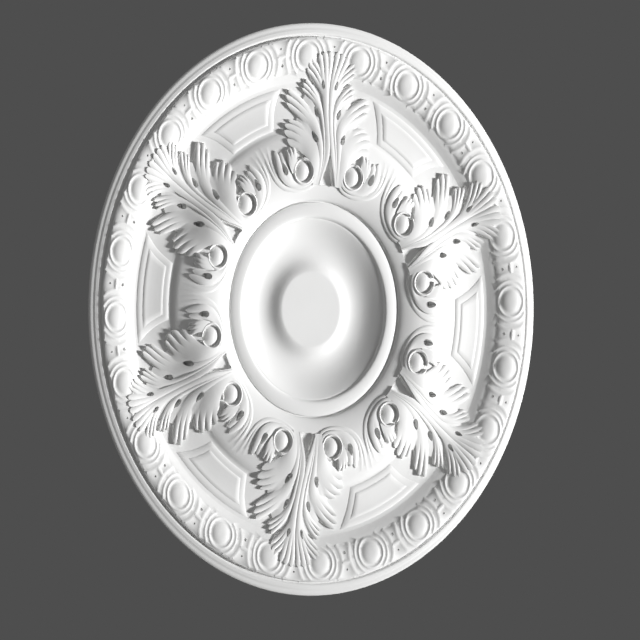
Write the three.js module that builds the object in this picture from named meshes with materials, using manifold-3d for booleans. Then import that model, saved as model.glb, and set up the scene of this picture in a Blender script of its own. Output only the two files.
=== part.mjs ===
// A round ceiling rose cast in one piece: a turned ground with a plain centre medallion, a ring of
// scrolls, six acanthus leaves, six raised panels between them and an egg-and-dart border.
// Millimetres, +Z up. The flat back lies on the plane y = 0 and the carved face looks along -Y.
import * as THREE from "three";
import { mergeVertices } from "three/addons/utils/BufferGeometryUtils.js";
import Module from "manifold-3d";

const wasm = await Module();
wasm.setup();

// Driving dimensions. Radii are measured from the centre of the rose and heights from its back.
const RADIUS = 350;
const LEAF_COUNT = 6;
const LEAF_STEP = (2 * Math.PI) / LEAF_COUNT;
const GROUND_SEGMENTS = 36;
const CURVE_STEPS = 2;

// Rings of the turned ground, from the centre outwards.
const boss = { radius: 46, height: 9.3, foot: 58 };
const dish = { middle: 70, floor: 3.5, rise: 95, lip: 111, lipHeight: 13.8 };
const bead = { inner: 112.5, outer: 131, crease: 13, crest: 14.8, shoulder: 13.9, round: 4 };
const gutter = { radius: 132.5, floor: 13.1 };
const swell = { foot: 138, footHeight: 16.8, inner: 158, outer: 184, height: 20.3 };
const brink = { radius: 216.5, height: 13.9 };
const field = { slope: 222, slopeHeight: 11.9, inner: 255, outer: 278, height: 7.9 };
const wall = { top: 291, height: 11.4 };
const eggBand = { rise: 303, fall: 327, height: 15.3, outer: 331.5, foot: 14.2 };
const groove = { radius: 333.2, floor: 11.2 };
const rim = { roll: 337, rollHeight: 12.7, crest: 348.5, crestHeight: 10.5, wall: 9, backInset: 7.4 };

// Ornament stands on this depth inside the ground, so that it joins it everywhere.
const ROOT_DEPTH = 4;

// Egg-and-dart border.
const egg = {
  radius: 310.3, across: 17, along: 16.5, rise: 3.4, sink: 1.7, perLeaf: 4, around: 8, down: 3,
};
const dart = { length: 13, waist: 3.5, height: 16.2 };

// Raised panels: a low frame whose sides curve in, and a table on it, both lying along the ground.
const panel = { inner: 223, outer: 273, innerAngle: 0.148, waistAngle: 0.18, outerAngle: 0.254 };
const panelFrame = { width: 9, height: 1, tableWidth: 11, tableHeight: 2, rows: 2, columns: 1 };

// Carved blades of half a leaf and its scroll. Each lies between edge curves, given as points
// [across, along] the leaf's axis, with one group of fingers between neighbouring edges and, on each
// edge, how far its root, middle and tip rise above the ground.
const blades = {
  rib: {
    edges: [[[8, 147], [0.2, 196], [0.2, 250], [0.2, 306]], [[22, 146], [11, 190], [8, 250], [4, 304]]],
    fingers: [1],
    rises: [[2.4, 5.6, 3], [2.4, 5.6, 3]],
    rows: 3, notch: 0, cleft: 0, flute: 2.4, bulge: 0,
  },
  foliage: {
    edges: [
      [[18, 168], [28, 186], [46, 194], [71, 195]],
      [[11, 184], [20, 203], [35, 220], [55, 231]],
      [[6, 217], [14, 235], [27, 251], [44, 261]],
      [[3, 250], [10, 268], [19, 285], [28, 297]],
      [[0.5, 262], [0.5, 285], [1, 300], [2, 312]],
    ],
    fingers: [3, 3, 2, 2],
    rises: [[3, 4, 3.4], [3.2, 4, 3.4], [3.6, 4, 3.2], [4, 3.6, 3], [4, 3.6, 2.8]],
    rows: 2, notch: 0.17, cleft: 0.5, flute: 1.9, bulge: 10,
  },
  spray: {
    edges: [
      [[50, 137], [70, 146], [90, 163], [106, 186]],
      [[59, 147], [64, 157], [67, 170], [68, 190]],
    ],
    fingers: [2],
    rises: [[2.4, 4, 3.2], [2.4, 4, 3.2]],
    rows: 2, notch: 0.15, cleft: 0.15, flute: 1.2, bulge: 4,
  },
};

// Scroll: a ball, with a ridge that comes down from the leaf and winds in towards it.
const ball = { across: 39, along: 165, radius: 9, height: 23.2, around: 6, down: 4 };
const whorl = { start: 21, end: 13, band: 8, angle: 2.9, turns: 0.9, steps: 5, rise: 3.4, flute: 3 };

// Turns a closed geometry so that its faces look outwards and makes a solid of it.
function solid(geometry) {
  const bare = geometry.clone();
  bare.deleteAttribute("normal");
  bare.deleteAttribute("uv");
  const merged = mergeVertices(bare, 1e-4);
  const triVerts = new Uint32Array(merged.index.array);
  if (signedVolume(merged) < 0) {
    triVerts.reverse();
  }
  const vertProperties = merged.attributes.position.array;
  return new wasm.Manifold(new wasm.Mesh({ numProp: 3, vertProperties, triVerts }));
}

function signedVolume(geometry) {
  const corner = (i) => new THREE.Vector3().fromBufferAttribute(geometry.attributes.position, i);
  const index = geometry.index.array;
  let volume = 0;
  for (let i = 0; i < index.length; i += 3) {
    const [a, b, c] = [corner(index[i]), corner(index[i + 1]), corner(index[i + 2])];
    volume += a.dot(b.cross(c));
  }
  return volume;
}

function union(geometries) {
  return geometries.map(solid).reduce((whole, piece) => whole.add(piece));
}

// Copies of a geometry on every leaf's axis.
function aroundRose(geometry, count = LEAF_COUNT) {
  const copies = [];
  for (let i = 0; i < count; i++) {
    copies.push(geometry.clone().rotateZ((i * 2 * Math.PI) / count));
  }
  return copies;
}

function mirrored(geometry) {
  return geometry.clone().scale(-1, 1, 1);
}

// A turned solid from a profile of radius and height.
function turned(points, segments) {
  return new THREE.LatheGeometry(points, segments).rotateX(Math.PI / 2);
}

function groundProfile() {
  const path = new THREE.Path();
  path.moveTo(0, boss.height);
  path.lineTo(boss.radius, boss.height);
  path.quadraticCurveTo(boss.foot, dish.floor, dish.middle, dish.floor);
  path.quadraticCurveTo(dish.rise, dish.floor, dish.lip, dish.lipHeight);
  path.lineTo(bead.inner, bead.crease);
  path.lineTo(bead.inner + bead.round, bead.crest);
  path.lineTo(bead.outer - bead.round, bead.crest);
  path.lineTo(bead.outer, bead.shoulder);
  path.lineTo(gutter.radius, gutter.floor);
  path.lineTo(swell.foot, swell.footHeight);
  path.lineTo(swell.inner, swell.height);
  path.lineTo(swell.outer, swell.height);
  path.lineTo(brink.radius, brink.height);
  path.lineTo(field.slope, field.slopeHeight);
  path.lineTo(field.inner, field.height);
  path.lineTo(field.outer, field.height);
  path.lineTo(wall.top, wall.height);
  path.lineTo(eggBand.rise, eggBand.height);
  path.lineTo(eggBand.fall, eggBand.height);
  path.lineTo(eggBand.outer, eggBand.foot);
  path.lineTo(groove.radius, groove.floor);
  path.lineTo(rim.roll, rim.rollHeight);
  path.lineTo(rim.crest, rim.crestHeight);
  path.lineTo(RADIUS, rim.wall);
  path.lineTo(RADIUS - rim.backInset, 0);
  path.lineTo(0, 0);
  return path.getPoints(CURVE_STEPS);
}

// Height of the turned ground's face at a radius.
function groundHeight(radius) {
  const points = groundProfile();
  const next = points.findIndex((point) => point.x > radius);
  const [from, to] = [points[next - 1], points[next]];
  return THREE.MathUtils.mapLinear(radius, from.x, to.x, from.y, to.y);
}

const curveThrough = (points) => new THREE.SplineCurve(points.map(([x, y]) => new THREE.Vector2(x, y)));

// A carved blade: rounded fingers run from its root to its tip, with a notch between two fingers and
// a deeper cleft at each edge curve, where one lobe ends and the next begins.
function blade({ edges, fingers, rises, rows, notch, cleft, flute, bulge }) {
  const curves = edges.map(curveThrough);
  const halves = fingers.flatMap((count, lobe) => Array(2 * count).fill(lobe));
  const geometry = new THREE.BoxGeometry(1, 1, 1, halves.length, rows, 1);
  const position = geometry.attributes.position;
  for (let i = 0; i < position.count; i++) {
    const column = Math.round((position.getX(i) + 0.5) * halves.length);
    const along = position.getY(i) + 0.5;
    const lobe = halves[Math.min(column, halves.length - 1)];
    const across = (column - halves.indexOf(lobe)) / (2 * fingers[lobe]);
    const valley = Math.abs(Math.cos(Math.PI * fingers[lobe] * across));
    const gap = across === 0 || across === 1 ? cleft : notch;
    const reach = along * (1 - gap * valley);
    const [low, high] = [curves[lobe], curves[lobe + 1]];
    const outward = low.getPoint(1).add(high.getPoint(1)).sub(low.getPoint(0)).sub(high.getPoint(0));
    const place = low.getPoint(reach).lerp(high.getPoint(reach), across);
    place.addScaledVector(outward.normalize(), bulge * 4 * across * (1 - across) * reach * reach);
    const between = (rise, k) => THREE.MathUtils.lerp(rise, rises[lobe + 1][k], across);
    const [root, middle, tip] = rises[lobe].map(between);
    const crest = (1 - along) ** 2 * root + 2 * along * (1 - along) * middle + along ** 2 * tip;
    const top = groundHeight(place.length()) + crest - flute * valley * Math.sqrt(along);
    position.setXYZ(i, place.x, place.y, position.getZ(i) > 0 ? top : ROOT_DEPTH);
  }
  return geometry;
}

// One edge of the winding ridge, as points on a spiral round the ball.
function spiralEdge(offset) {
  const points = [];
  for (let i = 0; i <= whorl.steps; i++) {
    const share = i / whorl.steps;
    const angle = whorl.angle + share * whorl.turns * 2 * Math.PI;
    const radius = THREE.MathUtils.lerp(whorl.start, whorl.end, share) + offset;
    points.push([ball.across + radius * Math.cos(angle), ball.along + radius * Math.sin(angle)]);
  }
  return points;
}

function scrollRidge() {
  const rises = [whorl.rise, whorl.rise, whorl.rise];
  return blade({
    edges: [spiralEdge(whorl.band / 2), spiralEdge(-whorl.band / 2)],
    fingers: [1],
    rises: [rises, rises],
    rows: whorl.steps, notch: 0, cleft: 0, flute: whorl.flute, bulge: 0,
  });
}

function scrollBall() {
  return new THREE.SphereGeometry(ball.radius, ball.around, ball.down)
    .rotateX(Math.PI / 2)
    .translate(ball.across, ball.along, ball.height - ball.radius);
}

// Half the angle that a panel covers at a radius; its sides are hollow.
function panelAngle(radius) {
  const share = (radius - panel.inner) / (panel.outer - panel.inner);
  const { innerAngle, waistAngle, outerAngle } = panel;
  return (1 - share) ** 2 * innerAngle + 2 * share * (1 - share) * waistAngle + share ** 2 * outerAngle;
}

// A block on a panel's outline, drawn in by an inset, whose top lies along the ground.
function panelBlock(footInset, headInset, rise) {
  const geometry = new THREE.BoxGeometry(1, 1, 1, panelFrame.columns, panelFrame.rows, 1);
  const position = geometry.attributes.position;
  for (let i = 0; i < position.count; i++) {
    const top = position.getZ(i) > 0;
    const inset = top ? headInset : footInset;
    const radius = THREE.MathUtils.lerp(panel.inner + inset, panel.outer - inset, position.getY(i) + 0.5);
    const angle = position.getX(i) * 2 * (panelAngle(radius) - inset / radius);
    const height = top ? groundHeight(radius) + rise : ROOT_DEPTH;
    position.setXYZ(i, radius * Math.sin(angle), radius * Math.cos(angle), height);
  }
  return geometry.rotateZ(-LEAF_STEP / 2);
}

function panelSteps() {
  const { width, height, tableWidth, tableHeight } = panelFrame;
  return [panelBlock(0, 0, height), panelBlock(width, tableWidth, tableHeight)];
}

function eggDome() {
  return new THREE.SphereGeometry(1, egg.around, egg.down)
    .rotateX(Math.PI / 2)
    .scale(egg.across, egg.along, egg.rise)
    .translate(0, egg.radius, eggBand.height - egg.sink);
}

// The dart between two eggs: an hourglass whose sides follow the shells of both eggs.
function dartShape() {
  const { length, waist, height } = dart;
  const halfPitch = egg.radius * Math.tan(Math.PI / (egg.perLeaf * LEAF_COUNT));
  const shellRadius = halfPitch - waist;
  const spread = Math.asin(length / shellRadius);
  const shape = new THREE.Shape();
  shape.absarc(-halfPitch, 0, shellRadius, -spread, spread, false);
  shape.absarc(halfPitch, 0, shellRadius, Math.PI - spread, Math.PI + spread, false);
  return new THREE.ExtrudeGeometry(shape, {
    depth: height - ROOT_DEPTH,
    bevelEnabled: false,
    curveSegments: 1,
  }).translate(0, egg.radius, ROOT_DEPTH);
}

// Eggs all round, with a dart in each gap that no leaf's tip covers.
function eggBorder() {
  const eggCount = egg.perLeaf * LEAF_COUNT;
  const domes = aroundRose(eggDome().rotateZ(Math.PI / eggCount), eggCount);
  const darts = aroundRose(dartShape(), eggCount).filter((_, gap) => gap % egg.perLeaf !== 0);
  return union([...domes, ...darts]);
}

function bothSides(geometry) {
  return [geometry, mirrored(geometry)];
}

function roseSolid() {
  const ground = solid(turned(groundProfile(), GROUND_SEGMENTS));
  const half = [...Object.values(blades).map(blade), scrollRidge(), scrollBall()];
  const carving = [...half.flatMap(bothSides), ...panelSteps()];
  return ground.add(eggBorder()).add(union(carving.flatMap((piece) => aroundRose(piece))));
}

function geometryOf(body) {
  const mesh = body.getMesh();
  const geometry = new THREE.BufferGeometry();
  geometry.setAttribute("position", new THREE.BufferAttribute(mesh.vertProperties, 3));
  geometry.setIndex(new THREE.BufferAttribute(mesh.triVerts, 1));
  geometry.computeVertexNormals();
  return geometry;
}

const whitePrimer = new THREE.MeshStandardMaterial({ color: 0xf2f1ee, roughness: 0.75, metalness: 0 });
const rose = new THREE.Mesh(geometryOf(roseSolid()), whitePrimer);
rose.name = "ceiling_rose";
rose.rotation.x = Math.PI / 2;

const part = new THREE.Group();
part.add(rose);

export default part;
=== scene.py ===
"""A white ceiling rose cast in one piece, with its carved face, its primer and a plain studio stage."""
import math

import bpy
import numpy as np
from bpy.props import FloatProperty, FloatVectorProperty, IntProperty, PointerProperty
from mathutils import Matrix, Vector


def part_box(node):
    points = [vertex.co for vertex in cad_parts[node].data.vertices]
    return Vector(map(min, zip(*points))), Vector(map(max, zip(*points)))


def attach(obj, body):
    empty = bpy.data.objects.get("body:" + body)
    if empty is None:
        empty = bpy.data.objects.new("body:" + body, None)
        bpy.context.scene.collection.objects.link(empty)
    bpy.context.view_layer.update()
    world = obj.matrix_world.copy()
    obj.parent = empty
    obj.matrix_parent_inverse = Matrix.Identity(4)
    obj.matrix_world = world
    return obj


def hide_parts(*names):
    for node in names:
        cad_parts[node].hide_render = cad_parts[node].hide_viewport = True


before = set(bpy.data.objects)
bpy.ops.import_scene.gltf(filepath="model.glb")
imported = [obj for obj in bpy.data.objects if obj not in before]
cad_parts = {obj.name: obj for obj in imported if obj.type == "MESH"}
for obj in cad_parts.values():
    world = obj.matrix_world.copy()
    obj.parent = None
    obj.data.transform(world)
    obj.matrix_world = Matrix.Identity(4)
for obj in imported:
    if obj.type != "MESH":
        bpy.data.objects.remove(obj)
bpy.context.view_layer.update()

bl_info = {
    "name": "Ceiling Rose",
    "version": (1, 0, 0),
    "blender": (4, 5, 0),
    "location": "View3D > Sidebar > Rose",
    "description": "Builds a carved ceiling rose and its studio stage around the packed frame",
    "category": "Object",
}

NODE = "ceiling_rose"
BODY = "root"
PIECE = "rose_casting"
MM = 0.001

# The carving is worked out on the face: x across, y along an axis of the rose and z out of the wall,
# in millimetres. Points of a motif are shares of the rose's radius, along its axis and then across.
ROOT = 4.0
ABOVE = 60.0
ON_AXIS = 1e-9
GROUND_SEGMENTS = 144

# Radius and height above the back of the turned ground, moulding by moulding from the centre outwards.
FACE = {
    "medallion": ((0.0, 9.3), (43.5, 9.3), (45.8, 9.3)),
    "shoulder": ((46.6, 9.2), (49.0, 8.75), (52.5, 7.65), (56.0, 6.45), (59.5, 5.35), (63.0, 4.6),
                 (66.5, 4.15)),
    "dish": ((70.0, 4.0), (73.5, 4.0), (77.0, 4.2), (80.5, 4.6), (84.0, 5.15), (87.5, 5.85), (91.0, 6.7),
             (94.5, 7.7), (98.0, 8.8), (101.5, 10.0), (105.0, 11.2), (108.5, 12.35)),
    "lip": ((110.6, 13.0), (111.2, 13.0), (112.3, 14.0), (113.6, 14.9)),
    "bead": ((115.0, 15.25), (117.5, 15.4), (121.0, 15.35), (125.0, 15.1), (128.8, 14.65), (130.8, 14.1)),
    "gutter": ((131.4, 12.1), (132.4, 12.1)),
    "cushion": ((132.9, 14.4), (133.9, 15.4), (135.2, 16.0), (137.4, 16.75), (140.2, 17.45), (143.5, 18.15),
                (147.0, 18.75), (150.5, 19.3), (154.0, 19.75), (157.5, 20.1), (161.0, 20.35), (164.5, 20.5),
                (171.5, 20.6), (178.0, 20.5), (185.0, 20.05), (192.0, 19.2), (199.0, 18.0), (206.0, 16.5),
                (212.0, 15.1), (218.0, 13.7)),
    "field": ((220.5, 12.4), (223.0, 11.4), (225.0, 11.1), (229.0, 10.7), (234.0, 10.15), (241.0, 9.35),
              (248.0, 8.65), (255.0, 8.1), (262.0, 7.8), (270.0, 7.7), (277.5, 7.7)),
    "wall": ((278.3, 7.9), (284.0, 9.5), (289.0, 11.0), (291.4, 11.4)),
    "egg band": ((292.4, 12.0), (294.5, 12.9), (298.0, 13.6), (301.5, 14.2), (305.0, 14.7), (308.5, 15.1),
                 (312.0, 15.4), (315.5, 15.6), (319.0, 15.7), (322.5, 15.75), (326.0, 15.7), (330.5, 15.4),
                 (332.8, 14.5)),
    "groove": ((333.6, 11.2), (335.2, 11.2)),
    "rim": ((335.9, 12.1), (337.0, 12.6), (338.2, 12.7), (339.4, 12.45), (341.4, 12.15), (342.2, 12.0),
            (343.4, 11.35), (345.0, 11.15), (347.0, 10.85), (348.8, 10.45), (349.7, 9.8), (350.0, 9.0)),
}
BACK = ((342.6, 0.0), (0.0, 0.0))
# The bed on which leaves and scrolls lie runs along the ground and bridges its narrow grooves.
BED = ((128.0, 15.0), (138.0, 16.6), (150.0, 19.1), (164.0, 20.4), (178.0, 20.6), (192.0, 19.3),
       (206.0, 16.6), (220.0, 13.4), (234.0, 10.8), (248.0, 9.3), (262.0, 8.8), (276.0, 9.2), (290.0, 11.6),
       (304.0, 14.4), (318.0, 15.7), (332.0, 15.4))
BED_STEPS = 16

# Half a leaf. Each lobe runs from its stem at the foot of the leaf to a fan of fingers. Its upper,
# middle and lower lines have one point at each station, and rise is its height above the bed there.
# The fingers open between two shares of the length, notch is the share by which the gaps between them
# are cut back, and relief is the share of the full rounding and flutes. The web joins the lobes.
LEAF_ROWS = 22
LEAF_LOBES = {
    "web": {
        "upper": ((0.432, 0.020), (0.480, 0.010), (0.530, 0.000), (0.590, -0.001), (0.650, -0.001),
                  (0.710, -0.001), (0.770, -0.001), (0.830, -0.001)),
        "middle": ((0.432, 0.042), (0.470, 0.040), (0.520, 0.040), (0.570, 0.044), (0.615, 0.054),
                   (0.655, 0.069), (0.689, 0.089), (0.718, 0.114)),
        "lower": ((0.430, 0.062), (0.456, 0.064), (0.482, 0.070), (0.503, 0.080), (0.520, 0.092),
                  (0.535, 0.106), (0.546, 0.121), (0.555, 0.138)),
        "rise": (1.6, 2.0, 2.7, 3.2, 3.1, 2.7, 2.3, 1.6),
        "fingers": 3, "opens": (0.60, 1.00), "notch": 0.0, "relief": 0.0,
    },
    "low": {
        "upper": ((0.432, 0.052), (0.470, 0.047), (0.515, 0.046), (0.560, 0.050), (0.598, 0.060),
                  (0.626, 0.080), (0.643, 0.110), (0.654, 0.152)),
        "middle": ((0.430, 0.058), (0.464, 0.056), (0.502, 0.060), (0.536, 0.070), (0.564, 0.090),
                   (0.589, 0.117), (0.607, 0.152), (0.618, 0.194)),
        "lower": ((0.428, 0.064), (0.458, 0.066), (0.487, 0.072), (0.507, 0.085), (0.523, 0.102),
                  (0.535, 0.121), (0.543, 0.142), (0.547, 0.168)),
        "rise": (2.0, 3.0, 3.8, 4.0, 3.5, 3.0, 3.0, 3.5),
        "fingers": 4, "opens": (0.76, 1.00), "notch": 0.10, "relief": 1.0,
    },
    "side": {
        "upper": ((0.432, 0.042), (0.470, 0.037), (0.525, 0.032), (0.590, 0.032), (0.648, 0.044),
                  (0.692, 0.072), (0.728, 0.112), (0.762, 0.164)),
        "middle": ((0.432, 0.047), (0.470, 0.042), (0.522, 0.039), (0.578, 0.042), (0.626, 0.056),
                   (0.664, 0.084), (0.700, 0.130), (0.732, 0.190)),
        "lower": ((0.432, 0.052), (0.470, 0.048), (0.518, 0.047), (0.566, 0.053), (0.604, 0.066),
                  (0.631, 0.091), (0.658, 0.128), (0.686, 0.172)),
        "rise": (2.0, 3.0, 3.8, 4.2, 3.9, 3.2, 3.0, 3.5),
        "fingers": 3, "opens": (0.78, 1.00), "notch": 0.10, "relief": 1.0,
    },
    "inner": {
        "upper": ((0.432, 0.038), (0.474, 0.032), (0.534, 0.024), (0.611, 0.018), (0.680, 0.020),
                  (0.733, 0.036), (0.772, 0.064), (0.806, 0.098)),
        "middle": ((0.432, 0.040), (0.473, 0.034), (0.532, 0.027), (0.608, 0.024), (0.672, 0.028),
                   (0.720, 0.046), (0.753, 0.076), (0.782, 0.116)),
        "lower": ((0.432, 0.042), (0.472, 0.036), (0.530, 0.031), (0.605, 0.030), (0.665, 0.036),
                  (0.705, 0.054), (0.732, 0.082), (0.755, 0.118)),
        "rise": (2.0, 3.0, 3.8, 4.3, 4.1, 3.4, 2.9, 3.2),
        "fingers": 3, "opens": (0.80, 1.00), "notch": 0.09, "relief": 0.8,
    },
    "high": {
        "upper": ((0.432, 0.036), (0.475, 0.029), (0.535, 0.021), (0.616, 0.011), (0.697, 0.008),
                  (0.770, 0.016), (0.832, 0.042), (0.876, 0.086)),
        "middle": ((0.432, 0.0375), (0.4745, 0.031), (0.535, 0.023), (0.616, 0.014), (0.696, 0.013),
                   (0.762, 0.026), (0.814, 0.058), (0.854, 0.106)),
        "lower": ((0.432, 0.039), (0.474, 0.033), (0.535, 0.025), (0.616, 0.017), (0.695, 0.018),
                  (0.752, 0.036), (0.790, 0.068), (0.820, 0.108)),
        "rise": (2.0, 3.0, 3.8, 4.4, 4.3, 3.5, 2.8, 2.9),
        "fingers": 3, "opens": (0.80, 1.00), "notch": 0.09, "relief": 0.8,
    },
    "tip": {
        "upper": ((0.440, 0.034), (0.480, 0.021), (0.530, 0.005), (0.600, -0.001), (0.700, -0.001),
                  (0.780, -0.001), (0.845, -0.001), (0.905, -0.001)),
        "middle": ((0.437, 0.035), (0.478, 0.026), (0.530, 0.013), (0.605, 0.007), (0.700, 0.009),
                   (0.780, 0.015), (0.842, 0.027), (0.900, 0.043)),
        "lower": ((0.434, 0.036), (0.476, 0.030), (0.532, 0.022), (0.612, 0.018), (0.700, 0.022),
                  (0.770, 0.034), (0.826, 0.054), (0.884, 0.076)),
        "rise": (2.4, 3.2, 4.0, 4.6, 4.5, 3.8, 2.9, 2.7),
        "fingers": 3, "opens": (0.66, 1.0), "notch": 0.05, "relief": 0.55,
    },
}

# Drilled eyes of half a leaf: place, length, width and lean from the leaf's axis in degrees.
LEAF_EYES = (
    ((0.600, 0.064), 0.042, 0.020, 28.0),
    ((0.688, 0.050), 0.040, 0.019, 26.0),
    ((0.787, 0.030), 0.034, 0.014, 14.0),
)
# Half the outline of the recess at the foot of a leaf, from its base to its point.
RECESS = ((0.434, 0.030), (0.456, 0.024), (0.480, 0.017), (0.505, 0.009), (0.526, 0.003), (0.540, 0.0))
EYE_TAPER = 0.35
# Heights of the floors of the drilled holes.
DRILLED = {"leaf": 4.0, "recess": 17.6, "scroll": 9.0, "dart": 12.6}

# The stretches of a lobe's length where its stem rounds, its body rounds and its tips turn down.
STEM_STRETCH = (0.05, 0.45)
BODY_STRETCH = (0.35, 0.75)
TIP_STRETCH = (0.70, 1.05)

# Half a pair of scrolls, on the axis midway between two leaves.
VOLUTE = (0.466, 0.140)
SCROLL_LOBES = {
    "inner spray": {
        "upper": ((0.512, 0.203), (0.466, 0.210), (0.426, 0.197), (0.400, 0.164), (0.398, 0.122),
                  (0.412, 0.078), (0.440, 0.036), (0.480, 0.011), (0.535, 0.001), (0.616, -0.001)),
        "middle": ((0.506, 0.197), (0.466, 0.203), (0.430, 0.192), (0.406, 0.162), (0.404, 0.123),
                   (0.417, 0.084), (0.443, 0.046), (0.481, 0.023), (0.532, 0.017), (0.609, 0.025)),
        "lower": ((0.502, 0.191), (0.466, 0.197), (0.433, 0.187), (0.411, 0.160), (0.410, 0.125),
                  (0.422, 0.090), (0.446, 0.057), (0.482, 0.037), (0.528, 0.034), (0.590, 0.050)),
        "rise": (1.9, 1.9, 1.8, 1.7, 1.4, 1.2, 1.0, 0.9, 0.9, 1.0),
        "fingers": 2, "opens": (0.66, 1.0), "notch": 0.04, "relief": 0.4, "rows": 30,
    },
    "outer spray": {
        "upper": ((0.502, 0.191), (0.466, 0.197), (0.433, 0.187), (0.411, 0.160), (0.410, 0.125),
                  (0.422, 0.090), (0.446, 0.057), (0.482, 0.037), (0.528, 0.034), (0.586, 0.052)),
        "middle": ((0.498, 0.186), (0.466, 0.192), (0.436, 0.183), (0.417, 0.158), (0.416, 0.127),
                   (0.427, 0.097), (0.448, 0.073), (0.482, 0.062), (0.522, 0.061), (0.572, 0.073)),
        "lower": ((0.494, 0.181), (0.466, 0.187), (0.439, 0.178), (0.422, 0.156), (0.421, 0.128),
                  (0.432, 0.107), (0.451, 0.094), (0.482, 0.087), (0.515, 0.085), (0.556, 0.094)),
        "rise": (2.6, 2.8, 2.8, 2.7, 2.6, 2.4, 2.4, 2.6, 2.8, 2.4),
        "fingers": 2, "opens": (0.66, 1.0), "notch": 0.05, "relief": 0.5, "rows": 30,
    },
    "crown": {
        "upper": ((0.478, 0.090), (0.505, 0.089), (0.530, 0.092), (0.558, 0.098)),
        "middle": ((0.488, 0.110), (0.512, 0.110), (0.537, 0.114), (0.564, 0.124)),
        "lower": ((0.500, 0.130), (0.518, 0.132), (0.535, 0.138), (0.552, 0.150)),
        "rise": (2.8, 3.4, 3.8, 3.4),
        "fingers": 3, "opens": (0.4, 1.0), "notch": 0.16, "relief": 0.5, "rows": 14,
    },
}
SCROLL_EYES = (((0.507, 0.067), 0.046, 0.022, 3.0),)
WHORL = {"start": 0.0440, "end": 0.0425, "half_width": 0.0062, "from": 60.0, "sweep": -340.0, "rise": 3.4,
         "fall": 1.6, "steps": 45}
BUTTON = {"radius": 0.0385, "rise": 2.6, "fall": 3.6, "steps": 7}
WELL = {"radius": 0.0375, "floor": 18.5}
SCROLL_SEGMENTS = 28

# A raised panel is a frame and a table between two radii and two flanks that follow the leaves.
PANEL = {
    "inner": 0.645, "outer": 0.780, "frame": 9.0, "bevel": 1.8, "foot": 0.1,
    "flank": ((0.580, 0.074), (0.617, 0.089), (0.650, 0.105), (0.700, 0.137), (0.735, 0.171),
              (0.757, 0.198), (0.785, 0.238)),
    "flank_steps": 31, "rows": 12, "columns": 13,
}

# The border's carving follows the curve of its band, so these heights are above the band.
BORDER_ROOT = -5.0
EGG = {"radius": 0.0425, "rise": 1.7, "sink": 0.2, "steps": 8, "segments": 24}
# Place, half width and rise of the ring round an egg and of the two pairs of shells beside it.
EGG_RINGS = ((0.0540, 0.0066, 0.45), (0.0730, 0.0070, 0.40), (0.0985, 0.0110, 0.45))
RING_FALL = 0.75
RING_STEPS = 7
RING_SEGMENTS = 32
SHELL_REACH = 0.060
SHELL_STEPS = 12
TIE = {"along": 0.8935, "length": 0.036, "half_width": 0.0085, "rise": 0.7, "steps": 7}
# Place along the axis and radius of the small holes of a dart.
DART_HOLES = ((0.861, 0.0056), (0.921, 0.0040))
DART_HOLE_SEGMENTS = 12

SHARP_EDGE = math.radians(32.0)
PRIMER = {
    "specular": 0.35, "coat_scale": 14.0, "coat_detail": 5.0, "thin_below": 0.3, "full_above": 0.6,
    "grain_scale": 700.0, "grain_detail": 3.0, "grain_strength": 0.08, "grain_depth": 0.0004,
}

# Places of the stage, in metres. The far key light has a narrow spread, which lights the face's top a
# little more than its foot, and the back light shows the flat back in views from behind.
LIGHTS = {
    "key": {"place": (13.06, -5.02, -0.3), "aim": (-0.5, 0.0, 0.55), "size": 1.8, "spread": 18.0},
    "fill": {"place": (-0.6, -2.6, 2.4), "aim": (0.0, 0.0, 0.0), "size": 2.5, "spread": 180.0},
    "back": {"place": (0.9, 2.6, 1.6), "aim": (0.0, 0.0, 0.0), "size": 2.5, "spread": 180.0},
}
CAMERA = {"right": 0.0170, "down": 0.0130, "back": 3.0}
FLOOR = {"size": 12.0, "roughness": 0.8}
ROOM_GREY = (0.75, 0.75, 0.75, 1.0)


def rose_sizes():
    return bpy.context.scene.rose_sizes


def radius_mm():
    return rose_sizes().radius / MM


def ease(low, high, x):
    share = np.clip((x - low) / (high - low), 0.0, 1.0)
    return share * share * (3.0 - 2.0 * share)


def curve_through(points, share):
    """Points at given shares of a smooth curve through a motif's points."""
    knots = np.asarray(points, float)
    if knots.ndim == 1:
        knots = knots[:, None]
    last = len(knots) - 1
    place = np.clip(share, 0.0, 1.0) * last
    first = np.minimum(place.astype(int), last - 1)
    f = (place - first)[..., None]
    ends = np.vstack([2 * knots[0] - knots[1], knots, 2 * knots[-1] - knots[-2]])
    a, b, c, d = (ends[first + k] for k in range(4))
    bend = (2 * a - 5 * b + 4 * c - d) * f**2 + (3 * b - a - 3 * c + d) * f**3
    return 0.5 * (2 * b + (c - a) * f + bend)


def on_face(points):
    """Motif points along and across as x and y on the face, in millimetres."""
    p = np.asarray(points, float)
    return np.stack([p[..., 1], p[..., 0]], axis=-1) * radius_mm()


def outward(points, faces):
    """The same faces, turned round if their solid is inside out."""
    volume = 0.0
    for face in faces:
        a = points[face[0]]
        for i in range(1, len(face) - 1):
            volume += np.dot(a, np.cross(points[face[i]], points[face[i + 1]]))
    return faces if volume > 0 else [face[::-1] for face in faces]


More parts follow.
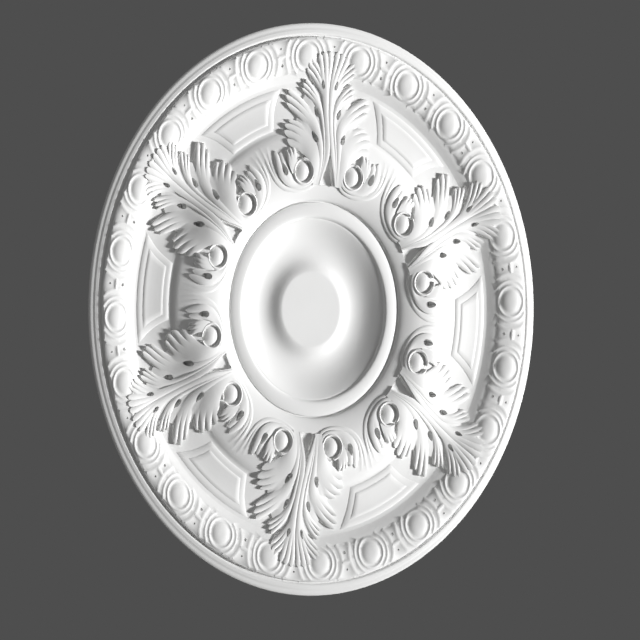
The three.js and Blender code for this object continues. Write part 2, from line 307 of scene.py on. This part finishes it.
def slab(top, floor=ROOT):
    """A solid under a grid of points, down to a flat floor."""
    rows, columns = top.shape[:2]
    base = top.copy()
    base[..., 2] = floor
    points = np.concatenate([top.reshape(-1, 3), base.reshape(-1, 3)])
    under = rows * columns

    def at(i, j):
        return i * columns + j

    faces = []
    for i in range(rows - 1):
        for j in range(columns - 1):
            cell = (at(i, j), at(i + 1, j), at(i + 1, j + 1), at(i, j + 1))
            faces.append(cell)
            faces.append(tuple(under + k for k in reversed(cell)))
    border = [at(i, 0) for i in range(rows)]
    border += [at(rows - 1, j) for j in range(1, columns)]
    border += [at(i, columns - 1) for i in range(rows - 2, -1, -1)]
    border += [at(0, j) for j in range(columns - 2, 0, -1)]
    for here, there in zip(border, border[1:] + border[:1]):
        faces.append((there, here, under + here, under + there))
    return points, outward(points, faces)


def revolved(profile, segments, centre=(0.0, 0.0)):
    """A solid turned about a line out of the face, from a closed loop or a profile from axis to axis."""
    angles = np.arange(segments) * 2 * math.pi / segments
    points = []
    rings = []
    for radius, height in profile:
        if radius < ON_AXIS:
            rings.append([len(points)] * segments)
            points.append((centre[0], centre[1], height))
            continue
        rings.append([len(points) + k for k in range(segments)])
        x = centre[0] + radius * np.cos(angles)
        y = centre[1] + radius * np.sin(angles)
        points += [(*place, height) for place in zip(x, y)]
    if profile[0][0] > ON_AXIS:
        rings.append(rings[0])
    faces = []
    for low, high in zip(rings, rings[1:]):
        for k in range(segments):
            n = (k + 1) % segments
            corner = dict.fromkeys((low[k], low[n], high[n], high[k]))
            if len(corner) > 2:
                faces.append(tuple(corner))
    points = np.array(points)
    return points, outward(points, faces)


def upright(outline, low, high):
    """A straight-sided solid on an outline."""
    count = len(outline)
    points = np.array([(x, y, low) for x, y in outline] + [(x, y, high) for x, y in outline])
    faces = [tuple(range(count)), tuple(range(2 * count - 1, count - 1, -1))]
    faces += [(k, k + count, (k + 1) % count + count, (k + 1) % count) for k in range(count)]
    return points, outward(points, faces)


def bed_height(place):
    """Height of the carving's bed at points of the face."""
    radius, height = curve_through(BED, np.linspace(0, 1, BED_STEPS * len(BED))).T
    return np.interp(np.hypot(place[..., 0], place[..., 1]), radius, height)


def fan(lobe, rows, per_finger=6):
    """A carved lobe: one rounded stem that opens into fingers with a groove between each two."""
    sizes = rose_sizes()
    fingers = lobe["fingers"]
    across = (1 - np.cos(np.linspace(0, math.pi, per_finger + 1))) / 2
    t = np.append(np.concatenate([(k + across[:-1]) / fingers for k in range(fingers)]), 1.0)
    # Along the lobe runs s and across it t. A finger's crest is 0 off the crest, and a groove is 1.
    s, t = np.meshgrid(np.linspace(0.0, 1.0, rows + 1), t, indexing="ij")
    off_crest = np.abs(2 * ((t * fingers) % 1.0) - 1)
    off_crest[:, -1] = 1.0
    off_edge = np.clip(1 - 2 * fingers * np.minimum(t, 1 - t), 0.0, 1.0)
    rounding = 1 - np.sqrt(1 - np.minimum(off_crest, 1.0) ** 2)
    reach = s - (lobe["notch"] * rounding + sizes.cleft * off_edge**2) * s**3
    upper, middle, lower = (curve_through(on_face(lobe[k]), reach) for k in ("upper", "middle", "lower"))
    w = t[..., None]
    place = upper * (2 * w - 1) * (w - 1) + middle * 4 * w * (1 - w) + lower * w * (2 * w - 1)
    opened = ease(*lobe["opens"], reach)
    height = bed_height(place) + curve_through(lobe["rise"], reach)[..., 0]
    height -= sizes.stem_round / MM * ease(*STEM_STRETCH, s) * (1 - opened) * (2 * t - 1) ** 2
    height -= sizes.lobe_round / MM * lobe["relief"] * ease(*BODY_STRETCH, s) * (2 * t - 1) ** 2
    height -= sizes.flute_depth / MM * lobe["relief"] * opened * off_crest**2
    height -= sizes.tip_drop / MM * ease(*TIP_STRETCH, s) ** 2
    return slab(np.concatenate([place, height[..., None]], axis=-1))


def ridge(path, half_width, crest, fall, columns=6, floor=ROOT):
    """A rounded ridge along a path on the face."""
    path = np.asarray(path, float)
    ahead = np.gradient(path, axis=0)
    ahead /= np.linalg.norm(ahead, axis=1)[:, None]
    side = np.stack([-ahead[:, 1], ahead[:, 0]], axis=1)
    t = -np.cos(np.linspace(0, math.pi, columns + 1))
    place = path[:, None, :] + side[:, None, :] * (t * half_width)[None, :, None]
    height = crest - fall * np.broadcast_to(t**2, place.shape[:2])
    return slab(np.concatenate([place, height[..., None]], axis=-1), floor)


def teardrop(place, length, width, lean, floor, steps=20):
    """A drilled eye, wider at its foot than at its head."""
    size = radius_mm()
    a = np.arange(steps) * 2 * math.pi / steps
    along = 0.5 * length * size * np.sin(a)
    across = 0.5 * width * size * np.cos(a) * (1 - EYE_TAPER * np.sin(a))
    turn = math.radians(lean)
    x0, y0 = on_face(place)
    x = x0 + across * math.cos(turn) + along * math.sin(turn)
    y = y0 - across * math.sin(turn) + along * math.cos(turn)
    return upright(np.stack([x, y], axis=1), floor, ABOVE)


def mirrored(solid):
    points, faces = solid
    return points * np.array([-1.0, 1.0, 1.0]), [face[::-1] for face in faces]


def both_sides(solids):
    return [*solids, *(mirrored(solid) for solid in solids)]


def mesh_of(name, solid):
    """A mesh in the rose's frame, in metres, from a solid on the face."""
    points, faces = solid
    placed = np.stack([points[:, 0], -points[:, 2], points[:, 1]], axis=1) * MM
    mesh = bpy.data.meshes.new(name)
    mesh.from_pydata(placed.tolist(), [], faces)
    return mesh


def fused(name, meshes, cuts=()):
    """One mesh from overlapping solids, less the cuts."""
    scene = bpy.context.scene
    groups = []
    made = []
    for kind, members in (("join", meshes[1:]), ("cut", cuts)):
        group = bpy.data.collections.new(f"{name} {kind}")
        scene.collection.children.link(group)
        for mesh, turn in members:
            part = bpy.data.objects.new(f"{name} {kind}", mesh)
            part.rotation_euler.y = -turn
            group.objects.link(part)
            made.append(part)
        groups.append((group, "UNION" if kind == "join" else "DIFFERENCE", len(members)))
    body = bpy.data.objects.new(name, meshes[0][0])
    body.rotation_euler.y = -meshes[0][1]
    scene.collection.objects.link(body)
    for group, operation, count in groups:
        if count:
            step = body.modifiers.new(operation, "BOOLEAN")
            step.operand_type = "COLLECTION"
            step.collection = group
            step.operation = operation
            step.solver = "MANIFOLD"
    graph = bpy.context.evaluated_depsgraph_get()
    mesh = bpy.data.meshes.new_from_object(body.evaluated_get(graph))
    mesh.name = name
    if not len(mesh.polygons):
        raise RuntimeError(f"{name}: the solids could not be joined")
    for part in [*made, body]:
        bpy.data.objects.remove(part)
    for group, _, _ in groups:
        bpy.data.collections.remove(group)
    return mesh


def joined(name, solids, cuts=()):
    bodies = [(mesh_of(f"{name} part", solid), 0.0) for solid in solids]
    return fused(name, bodies, [(mesh_of(f"{name} cut", solid), 0.0) for solid in cuts])


def made_mesh(name):
    mesh = bpy.data.meshes.get(name)
    if mesh is None:
        raise RuntimeError(f"{name} is not made yet")
    return mesh


def face_points():
    """Radius and height of the ground's face, from its centre to its edge."""
    return [point for moulding in FACE.values() for point in moulding]


def draped(solid):
    """A solid whose heights were measured from the ground's face, laid along that face."""
    points, faces = solid
    radius, height = np.array(face_points()).T
    points = points.copy()
    points[:, 2] += np.interp(np.hypot(points[:, 0], points[:, 1]), radius, height)
    return points, faces


def panel_block(inset, foot, rise):
    """A block on a panel's outline drawn in by an inset, with a narrow slope round its top."""
    r = radius_mm()
    bevel = PANEL["bevel"]
    flank = curve_through(on_face(PANEL["flank"]), np.linspace(0, 1, PANEL["flank_steps"]))
    ahead = np.gradient(flank, axis=0)
    ahead /= np.linalg.norm(ahead, axis=1)[:, None]
    flank = flank + np.stack([-ahead[:, 1], ahead[:, 0]], axis=1) * inset
    low, high = PANEL["inner"] * r + inset, PANEL["outer"] * r - inset
    table = np.linspace(low + bevel, high - bevel, PANEL["rows"])
    radius = np.concatenate([[low], table, [high]])[:, None]
    half = np.interp(radius, np.linalg.norm(flank, axis=1), np.arctan2(flank[:, 0], flank[:, 1]))
    spread = (half - bevel / radius) * np.linspace(-1, 1, PANEL["columns"])
    angle = np.concatenate([-half, spread, half], axis=1)
    height = np.full(angle.shape, rise)
    for edge in (height[0], height[-1], height[:, 0], height[:, -1]):
        edge[:] = foot
    place = (radius * np.sin(angle), radius * np.cos(angle), height)
    return draped(slab(np.stack(place, axis=-1), BORDER_ROOT))


def panel_solids():
    """A low frame and a table on it."""
    step = rose_sizes().panel_step / MM
    foot = PANEL["foot"]
    return [panel_block(0.0, foot, step), panel_block(PANEL["frame"], step + foot, 2 * step)]


def egg_solids():
    """An egg with the ring and the shells round it, on the axis of the face."""
    r = radius_mm()
    y = rose_sizes().egg_place / MM
    t = np.linspace(0, 1, EGG["steps"])
    dome = [(EGG["radius"] * r * v, EGG["rise"] * (1 - v**3) - EGG["sink"]) for v in t]
    dome += [(EGG["radius"] * r, BORDER_ROOT), (0.0, BORDER_ROOT)]
    solids = [revolved(dome, EGG["segments"], (0.0, y))]
    place, half, rise = EGG_RINGS[0]
    t = np.linspace(-1, 1, RING_STEPS)
    ring = [(place * r + half * r * v, rise - RING_FALL * v * v) for v in t]
    ring += [((place + half) * r, BORDER_ROOT), ((place - half) * r, BORDER_ROOT)]
    solids.append(revolved(ring, RING_SEGMENTS, (0.0, y)))
    for place, half, rise in EGG_RINGS[1:]:
        reach = math.asin(SHELL_REACH / place)
        for side in (0.0, math.pi):
            angles = np.linspace(side - reach, side + reach, SHELL_STEPS)
            path = np.stack([place * r * np.cos(angles), y + place * r * np.sin(angles)], axis=1)
            solids.append(ridge(path, half * r, rise, RING_FALL, floor=BORDER_ROOT))
    return [draped(solid) for solid in solids]


def dart_solids():
    r = radius_mm()
    half = 0.5 * TIE["length"] * r
    path = [(x, TIE["along"] * r) for x in np.linspace(-half, half, TIE["steps"])]
    return [draped(ridge(path, TIE["half_width"] * r, TIE["rise"], RING_FALL, floor=BORDER_ROOT))]


def dart_cuts():
    r = radius_mm()
    cuts = []
    a = np.arange(DART_HOLE_SEGMENTS) * 2 * math.pi / DART_HOLE_SEGMENTS
    for along, radius in DART_HOLES:
        outline = [(radius * r * math.cos(v), along * r + radius * r * math.sin(v)) for v in a]
        cuts.append(upright(outline, DRILLED["dart"], ABOVE))
    return cuts


def recess_cut():
    """The pointed recess between the stems of a leaf."""
    half = on_face(RECESS)
    outline = [*half, *(half[:-1] * (-1.0, 1.0))[::-1]]
    return upright(outline, DRILLED["recess"], ABOVE)


def whorl_band():
    """The ring of a scroll, winding in towards its button."""
    r = radius_mm()
    cx, cy = on_face(VOLUTE)
    share = np.linspace(0, 1, WHORL["steps"])
    angle = np.radians(WHORL["from"] + WHORL["sweep"] * share)
    radius = (WHORL["start"] + (WHORL["end"] - WHORL["start"]) * share) * r
    path = np.stack([cx + radius * np.cos(angle), cy + radius * np.sin(angle)], axis=1)
    return ridge(path, WHORL["half_width"] * r, bed_height(path)[:, None] + WHORL["rise"], WHORL["fall"])


def scroll_button():
    radius = BUTTON["radius"] * radius_mm()
    centre = on_face(VOLUTE)
    crest = bed_height(centre) + BUTTON["rise"]
    top = [(radius * t, crest - BUTTON["fall"] * t * t) for t in np.linspace(0, 1, BUTTON["steps"])]
    return revolved([*top, (radius, ROOT), (0.0, ROOT)], SCROLL_SEGMENTS, tuple(centre))


def scroll_well():
    radius, floor = WELL["radius"] * radius_mm(), WELL["floor"]
    profile = [(0.0, ABOVE), (radius, ABOVE), (radius, floor), (0.0, floor)]
    return revolved(profile, SCROLL_SEGMENTS, tuple(on_face(VOLUTE)))


class RoseSizes(bpy.types.PropertyGroup):
    radius: FloatProperty(
        name="Radius", description="From the centre to the rim", unit="LENGTH",
        default=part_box(NODE)[1][2],
    )
    leaf_count: IntProperty(name="Leaves", description="Leaves round the rose", default=6, min=3)
    egg_count: IntProperty(name="Eggs", description="Eggs round the border", default=24, min=6)
    egg_place: FloatProperty(
        name="Egg ring", description="From the centre to the middle of an egg", unit="LENGTH",
        default=0.3103,
    )
    panel_step: FloatProperty(
        name="Panel step", description="Height of each step of a panel", unit="LENGTH", default=0.0007,
    )
    flute_depth: FloatProperty(
        name="Flute depth", description="Groove between two fingers", unit="LENGTH", default=0.0011,
    )
    cleft: FloatProperty(
        name="Cleft", description="Share of a lobe's length that is cut back at its two edges", default=0.05,
    )
    stem_round: FloatProperty(
        name="Stem round", description="Fall from the middle of a stem to its edges", unit="LENGTH",
        default=0.0004,
    )
    lobe_round: FloatProperty(
        name="Lobe round", description="Fall from the middle of a lobe to its edges", unit="LENGTH",
        default=0.0007,
    )
    tip_drop: FloatProperty(
        name="Tip drop", description="How far a finger's tip turns down", unit="LENGTH", default=0.0012,
    )


class RoseFinish(bpy.types.PropertyGroup):
    primer: FloatVectorProperty(
        name="Primer", description="Colour of the white primer", subtype="COLOR",
        default=(0.84, 0.84, 0.835), min=0.0, max=1.0,
    )
    dusk: FloatVectorProperty(
        name="Uneven primer", description="Colour where the primer is thin", subtype="COLOR",
        default=(0.81, 0.81, 0.803), min=0.0, max=1.0,
    )
    roughness: FloatProperty(
        name="Roughness", description="Sheen of the primer", subtype="FACTOR", default=0.62,
        min=0.0, max=1.0,
    )


class RoseStage(bpy.types.PropertyGroup):
    floor: FloatVectorProperty(
        name="Floor", description="Colour of the floor", subtype="COLOR", default=(0.72, 0.72, 0.71),
        min=0.0, max=1.0,
    )
    floor_drop: FloatProperty(
        name="Floor drop", description="From the rose's centre down to the floor", unit="LENGTH",
        default=1.0,
    )
    view_turn: FloatProperty(
        name="View turn", description="Turn of the camera to the left of the face", unit="ROTATION",
        default=math.radians(39.0),
    )
    view_roll: FloatProperty(
        name="View roll", description="Roll of the camera", unit="ROTATION", default=math.radians(5.7),
    )
    view_width: FloatProperty(
        name="View width", description="Width of what the camera sees", unit="LENGTH", default=0.7822,
    )
    key_power: FloatProperty(name="Key light", description="Power in watts", unit="POWER", default=49.5)
    fill_power: FloatProperty(name="Fill light", description="Power in watts", unit="POWER", default=13.5)
    back_power: FloatProperty(name="Back light", description="Power in watts", unit="POWER", default=36.0)
    sky: FloatProperty(name="Room light", description="Strength of the light from all round", default=0.1016)


class ROSE_OT_ground(bpy.types.Operator):
    """Turn the ground with its medallion, beads, border and rim, and raise the panels on it"""

    bl_idname = "rose.ground"
    bl_label = "Turned Ground"

    def execute(self, context):
        sizes = rose_sizes()
        ground = mesh_of("rose ground", revolved([*face_points(), *BACK], GROUND_SEGMENTS))
        step = 2 * math.pi / sizes.leaf_count
        panels = [(mesh_of("panel", solid), (k + 0.5) * step)
                  for solid in panel_solids() for k in range(sizes.leaf_count)]
        fused("rose ground made", [(ground, 0.0), *panels])
        return {"FINISHED"}


class ROSE_OT_leaf(bpy.types.Operator):
    """Carve an acanthus leaf, and the shapes of its drilled eyes and of the recess at its foot"""

    bl_idname = "rose.leaf"
    bl_label = "Acanthus Leaf"

    def execute(self, context):
        eyes = [teardrop(*eye, floor=DRILLED["leaf"]) for eye in LEAF_EYES]
        joined("rose leaf", both_sides([fan(lobe, LEAF_ROWS) for lobe in LEAF_LOBES.values()]))
        joined("rose leaf holes", [*both_sides(eyes), recess_cut()])
        return {"FINISHED"}


class ROSE_OT_scrolls(bpy.types.Operator):
    """Carve a pair of scrolls with the spray between them, and the shapes of their drilled holes"""

    bl_idname = "rose.scrolls"
    bl_label = "Pair of Scrolls"

    def execute(self, context):
        sprays = [fan(lobe, lobe["rows"]) for lobe in SCROLL_LOBES.values()]
        eyes = [teardrop(*eye, floor=DRILLED["scroll"]) for eye in SCROLL_EYES]
        joined("rose scrolls", both_sides([*sprays, whorl_band()]))
        joined("rose scroll holes", both_sides([*eyes, scroll_well()]))
        joined("rose buttons", both_sides([scroll_button()]))
        return {"FINISHED"}


class ROSE_OT_border(bpy.types.Operator):
    """Carve one egg of the border with its shells, and the dart beside it"""

    bl_idname = "rose.border"
    bl_label = "Egg and Dart"

    def execute(self, context):
        joined("rose egg", egg_solids())
        joined("rose dart", dart_solids())
        joined("rose dart holes", dart_cuts())
        return {"FINISHED"}


class ROSE_OT_cast(bpy.types.Operator):
    """Join the ground and all the carving into one casting with its primer finish"""

    bl_idname = "rose.cast"
    bl_label = "Whole Casting"

    def execute(self, context):
        sizes = rose_sizes()
        step = 2 * math.pi / sizes.leaf_count
        pitch = 2 * math.pi / sizes.egg_count
        leaves = range(sizes.leaf_count)
        eggs = range(sizes.egg_count)
        border = [(made_mesh("rose egg"), (k + 0.5) * pitch) for k in eggs]
        border += [(made_mesh("rose dart"), k * pitch) for k in eggs]
        holes = [(made_mesh("rose dart holes"), k * pitch) for k in eggs]
        edged = fused("rose edged ground", [(made_mesh("rose ground made"), 0.0), *border], holes)
        carving = [(made_mesh("rose leaf"), k * step) for k in leaves]
        carving += [(made_mesh("rose scrolls"), (k + 0.5) * step) for k in leaves]
        holes = [(made_mesh("rose leaf holes"), k * step) for k in leaves]
        holes += [(made_mesh("rose scroll holes"), (k + 0.5) * step) for k in leaves]
        carved = fused("rose carved", [(edged, 0.0), *carving], holes)
        buttons = [(made_mesh("rose buttons"), (k + 0.5) * step) for k in leaves]
        mesh = fused(PIECE, [(carved, 0.0), *buttons])
        piece = bpy.data.objects.new(PIECE, mesh)
        context.scene.collection.objects.link(piece)
        mesh.materials.clear()
        mesh.materials.append(primer_finish())
        mesh.shade_smooth()
        mesh.set_sharp_from_angle(angle=SHARP_EDGE)
        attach(piece, BODY)
        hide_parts(NODE)
        return {"FINISHED"}


def primer_finish():
    """Matte white primer: a slightly uneven coat with a fine grain."""
    finish = bpy.context.scene.rose_finish
    material = bpy.data.materials.new("white primer")
    material.use_nodes = True
    nodes, links = material.node_tree.nodes, material.node_tree.links
    shader = nodes["Principled BSDF"]
    shader.inputs["Roughness"].default_value = finish.roughness
    shader.inputs["Specular IOR Level"].default_value = PRIMER["specular"]
    place = nodes.new("ShaderNodeTexCoord")
    coat = nodes.new("ShaderNodeTexNoise")
    coat.inputs["Scale"].default_value = PRIMER["coat_scale"]
    coat.inputs["Detail"].default_value = PRIMER["coat_detail"]
    ramp = nodes.new("ShaderNodeValToRGB")
    ramp.color_ramp.elements[0].position = PRIMER["thin_below"]
    ramp.color_ramp.elements[0].color = (*finish.dusk, 1.0)
    ramp.color_ramp.elements[1].position = PRIMER["full_above"]
    ramp.color_ramp.elements[1].color = (*finish.primer, 1.0)
    grain = nodes.new("ShaderNodeTexNoise")
    grain.inputs["Scale"].default_value = PRIMER["grain_scale"]
    grain.inputs["Detail"].default_value = PRIMER["grain_detail"]
    bump = nodes.new("ShaderNodeBump")
    bump.inputs["Strength"].default_value = PRIMER["grain_strength"]
    bump.inputs["Distance"].default_value = PRIMER["grain_depth"]
    links.new(place.outputs["Object"], coat.inputs["Vector"])
    links.new(coat.outputs["Fac"], ramp.inputs["Fac"])
    links.new(ramp.outputs["Color"], shader.inputs["Base Color"])
    links.new(place.outputs["Object"], grain.inputs["Vector"])
    links.new(grain.outputs["Fac"], bump.inputs["Height"])
    links.new(bump.outputs["Normal"], shader.inputs["Normal"])
    return material


def soft_light(name, power):
    """A square lamp from the list of lights, turned towards its aim."""
    light = LIGHTS[name]
    lamp = bpy.data.lights.new(f"{name} light", "AREA")
    lamp.size = light["size"]
    lamp.spread = math.radians(light["spread"])
    lamp.energy = power
    holder = bpy.data.objects.new(f"{name} light", lamp)
    holder.location = light["place"]
    beam = Vector(light["aim"]) - Vector(light["place"])
    holder.rotation_euler = beam.to_track_quat("-Z", "Y").to_euler()
    bpy.context.scene.collection.objects.link(holder)


class ROSE_OT_stage(bpy.types.Operator):
    """Set the floor, the soft lights and the camera"""

    bl_idname = "rose.stage"
    bl_label = "Studio Stage"

    def execute(self, context):
        stage = context.scene.rose_stage
        bpy.ops.mesh.primitive_plane_add(size=FLOOR["size"], location=(0.0, 0.0, -stage.floor_drop))
        floor = context.object
        floor.name = "studio_floor"
        paint = bpy.data.materials.new("floor paint")
        paint.use_nodes = True
        shader = paint.node_tree.nodes["Principled BSDF"]
        shader.inputs["Base Color"].default_value = (*stage.floor, 1.0)
        shader.inputs["Roughness"].default_value = FLOOR["roughness"]
        floor.data.materials.append(paint)
        soft_light("key", stage.key_power)
        soft_light("fill", stage.fill_power)
        soft_light("back", stage.back_power)
        world = bpy.data.worlds.new("studio")
        world.use_nodes = True
        sky = world.node_tree.nodes["Background"]
        sky.inputs["Color"].default_value = ROOM_GREY
        sky.inputs["Strength"].default_value = stage.sky
        context.scene.world = world
        context.scene.view_settings.view_transform = "Standard"
        self.place_camera(context, stage)
        return {"FINISHED"}

    def place_camera(self, context, stage):
        turn, roll = stage.view_turn, stage.view_roll
        across = Vector((math.cos(roll), 0.0, math.sin(roll)))
        up = Vector((-math.sin(roll), 0.0, math.cos(roll)))
        face = Vector((0.0, -1.0, 0.0))
        back = face * math.cos(turn) - across * math.sin(turn)
        right = across * math.cos(turn) + face * math.sin(turn)
        camera = bpy.data.cameras.new("camera")
        camera.type = "ORTHO"
        camera.ortho_scale = stage.view_width
        holder = bpy.data.objects.new("camera", camera)
        context.scene.collection.objects.link(holder)
        spot = Matrix((right, up, back)).transposed().to_4x4()
        spot.translation = right * CAMERA["right"] - up * CAMERA["down"] + back * CAMERA["back"]
        holder.matrix_world = spot
        context.scene.camera = holder


class ROSE_PT_panel(bpy.types.Panel):
    bl_label = "Ceiling Rose"
    bl_idname = "ROSE_PT_panel"
    bl_space_type = "VIEW_3D"
    bl_region_type = "UI"
    bl_category = "Rose"

    def draw(self, context):
        for group in (context.scene.rose_sizes, context.scene.rose_finish, context.scene.rose_stage):
            for name in group.__annotations__:
                self.layout.prop(group, name)
        for operator in OPERATORS:
            self.layout.operator(operator.bl_idname)


GROUPS = {"rose_sizes": RoseSizes, "rose_finish": RoseFinish, "rose_stage": RoseStage}
OPERATORS = (ROSE_OT_ground, ROSE_OT_leaf, ROSE_OT_scrolls, ROSE_OT_border, ROSE_OT_cast, ROSE_OT_stage)


def register():
    for cls in (*GROUPS.values(), *OPERATORS, ROSE_PT_panel):
        bpy.utils.register_class(cls)
    for name, group in GROUPS.items():
        setattr(bpy.types.Scene, name, PointerProperty(type=group))


def unregister():
    for name in GROUPS:
        delattr(bpy.types.Scene, name)
    for cls in reversed((*GROUPS.values(), *OPERATORS, ROSE_PT_panel)):
        bpy.utils.unregister_class(cls)


def main():
    register()
    bpy.ops.rose.ground()
    bpy.ops.rose.leaf()
    bpy.ops.rose.scrolls()
    bpy.ops.rose.border()
    bpy.ops.rose.cast()
    bpy.ops.rose.stage()


if __name__ == "__main__":
    main()
